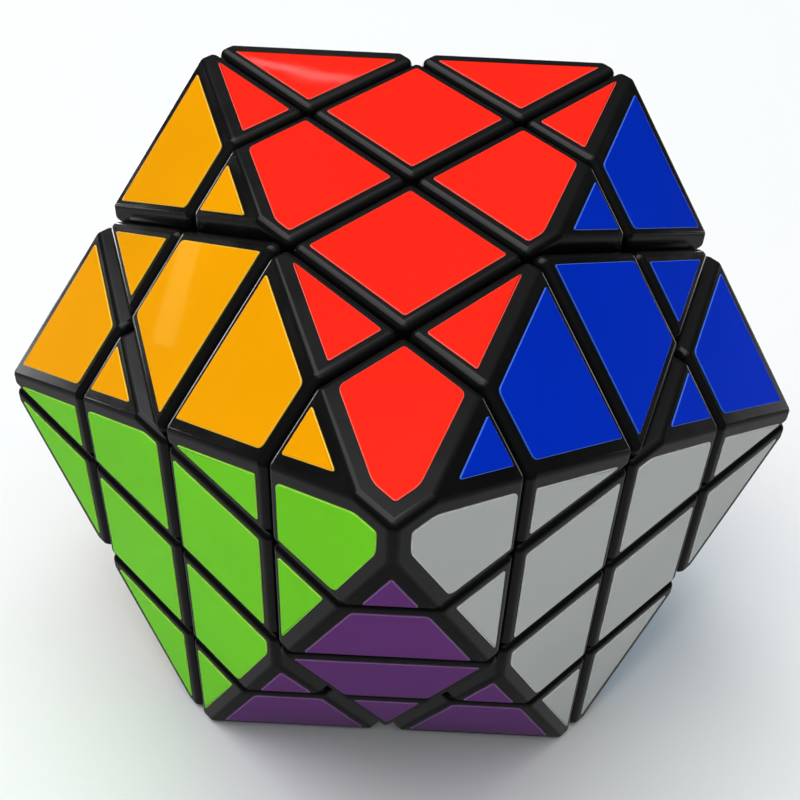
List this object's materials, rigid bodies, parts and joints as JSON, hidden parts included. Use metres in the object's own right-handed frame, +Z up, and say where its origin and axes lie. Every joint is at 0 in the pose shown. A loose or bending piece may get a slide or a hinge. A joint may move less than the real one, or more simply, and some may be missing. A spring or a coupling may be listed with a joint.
{
  "type": "twisty puzzle",
  "caption": "Four-layer twisty puzzle with a twelve-faced double-pyramid body, stickered pieces with feet, and a grooved ball core.",
  "frame": {"origin": "centre of the core ball, which is the centre of the body", "axes": "+Z up, square to the top face and along the axis that the four layers turn on; -Y towards the front tip, where six faces meet; +X to the right"},
  "size_m": [0.0906, 0.0906, 0.064],
  "materials": {
    "black_plastic": "moulded, semi-gloss, rounded edges",
    "core_plastic": "moulded, satin",
    "cap_plastic": "moulded, satin",
    "screw_steel": "zinc plated",
    "sticker_red": "glossy vinyl film",
    "sticker_orange": "glossy vinyl film",
    "sticker_blue": "glossy vinyl film",
    "sticker_green": "glossy vinyl film",
    "sticker_purple": "glossy vinyl film",
    "sticker_grey": "glossy vinyl film",
    "sticker_yellow": "glossy vinyl film",
    "sticker_pink": "glossy vinyl film",
    "sticker_light_blue": "glossy vinyl film",
    "sticker_white": "glossy vinyl film",
    "sticker_dark_green": "glossy vinyl film",
    "sticker_beige": "glossy vinyl film"
  },
  "bodies": {
    "bottom_layer": {"bottom_edge_1": "black_plastic", "bottom_edge_2": "black_plastic", "bottom_corner_3": "black_plastic", "bottom_edge_4": "black_plastic", "bottom_edge_5": "black_plastic", "bottom_corner_6": "black_plastic", "bottom_edge_7": "black_plastic", "bottom_edge_8": "black_plastic", "bottom_corner_9": "black_plastic", "bottom_edge_10": "black_plastic", "bottom_edge_11": "black_plastic", "bottom_corner_12": "black_plastic", "bottom_centre_3": "black_plastic", "bottom_centre_6": "black_plastic", "bottom_centre_9": "black_plastic", "bottom_centre_12": "black_plastic", "core_hub": "core_plastic", "core_caps": "cap_plastic", "core_screws": "screw_steel"},
    "lower_slice": {"lower_centre_1": "black_plastic", "lower_centre_2": "black_plastic", "lower_edge_3": "black_plastic", "lower_centre_4": "black_plastic", "lower_centre_5": "black_plastic", "lower_edge_6": "black_plastic", "lower_centre_7": "black_plastic", "lower_centre_8": "black_plastic", "lower_edge_9": "black_plastic", "lower_centre_10": "black_plastic", "lower_centre_11": "black_plastic", "lower_edge_12": "black_plastic"},
    "upper_slice": {"upper_centre_1": "black_plastic", "upper_centre_2": "black_plastic", "upper_edge_3": "black_plastic", "upper_centre_4": "black_plastic", "upper_centre_5": "black_plastic", "upper_edge_6": "black_plastic", "upper_centre_7": "black_plastic", "upper_centre_8": "black_plastic", "upper_edge_9": "black_plastic", "upper_centre_10": "black_plastic", "upper_centre_11": "black_plastic", "upper_edge_12": "black_plastic"},
    "top_layer": {"top_edge_1": "black_plastic", "top_edge_2": "black_plastic", "top_corner_3": "black_plastic", "top_edge_4": "black_plastic", "top_edge_5": "black_plastic", "top_corner_6": "black_plastic", "top_edge_7": "black_plastic", "top_edge_8": "black_plastic", "top_corner_9": "black_plastic", "top_edge_10": "black_plastic", "top_edge_11": "black_plastic", "top_corner_12": "black_plastic", "top_centre_3": "black_plastic", "top_centre_6": "black_plastic", "top_centre_9": "black_plastic", "top_centre_12": "black_plastic"}
  },
  "joints": [
    {"name": "lower_cut_turn", "type": "hinge", "parent": "bottom_layer", "child": "lower_slice", "pos_m": [0, 0, 0], "axis": [0, 0, 1], "continuous": true},
    {"name": "middle_cut_turn", "type": "hinge", "parent": "lower_slice", "child": "upper_slice", "pos_m": [0, 0, 0], "axis": [0, 0, 1], "continuous": true},
    {"name": "upper_cut_turn", "type": "hinge", "parent": "upper_slice", "child": "top_layer", "pos_m": [0, 0, 0], "axis": [0, 0, 1], "continuous": true}
  ]
}
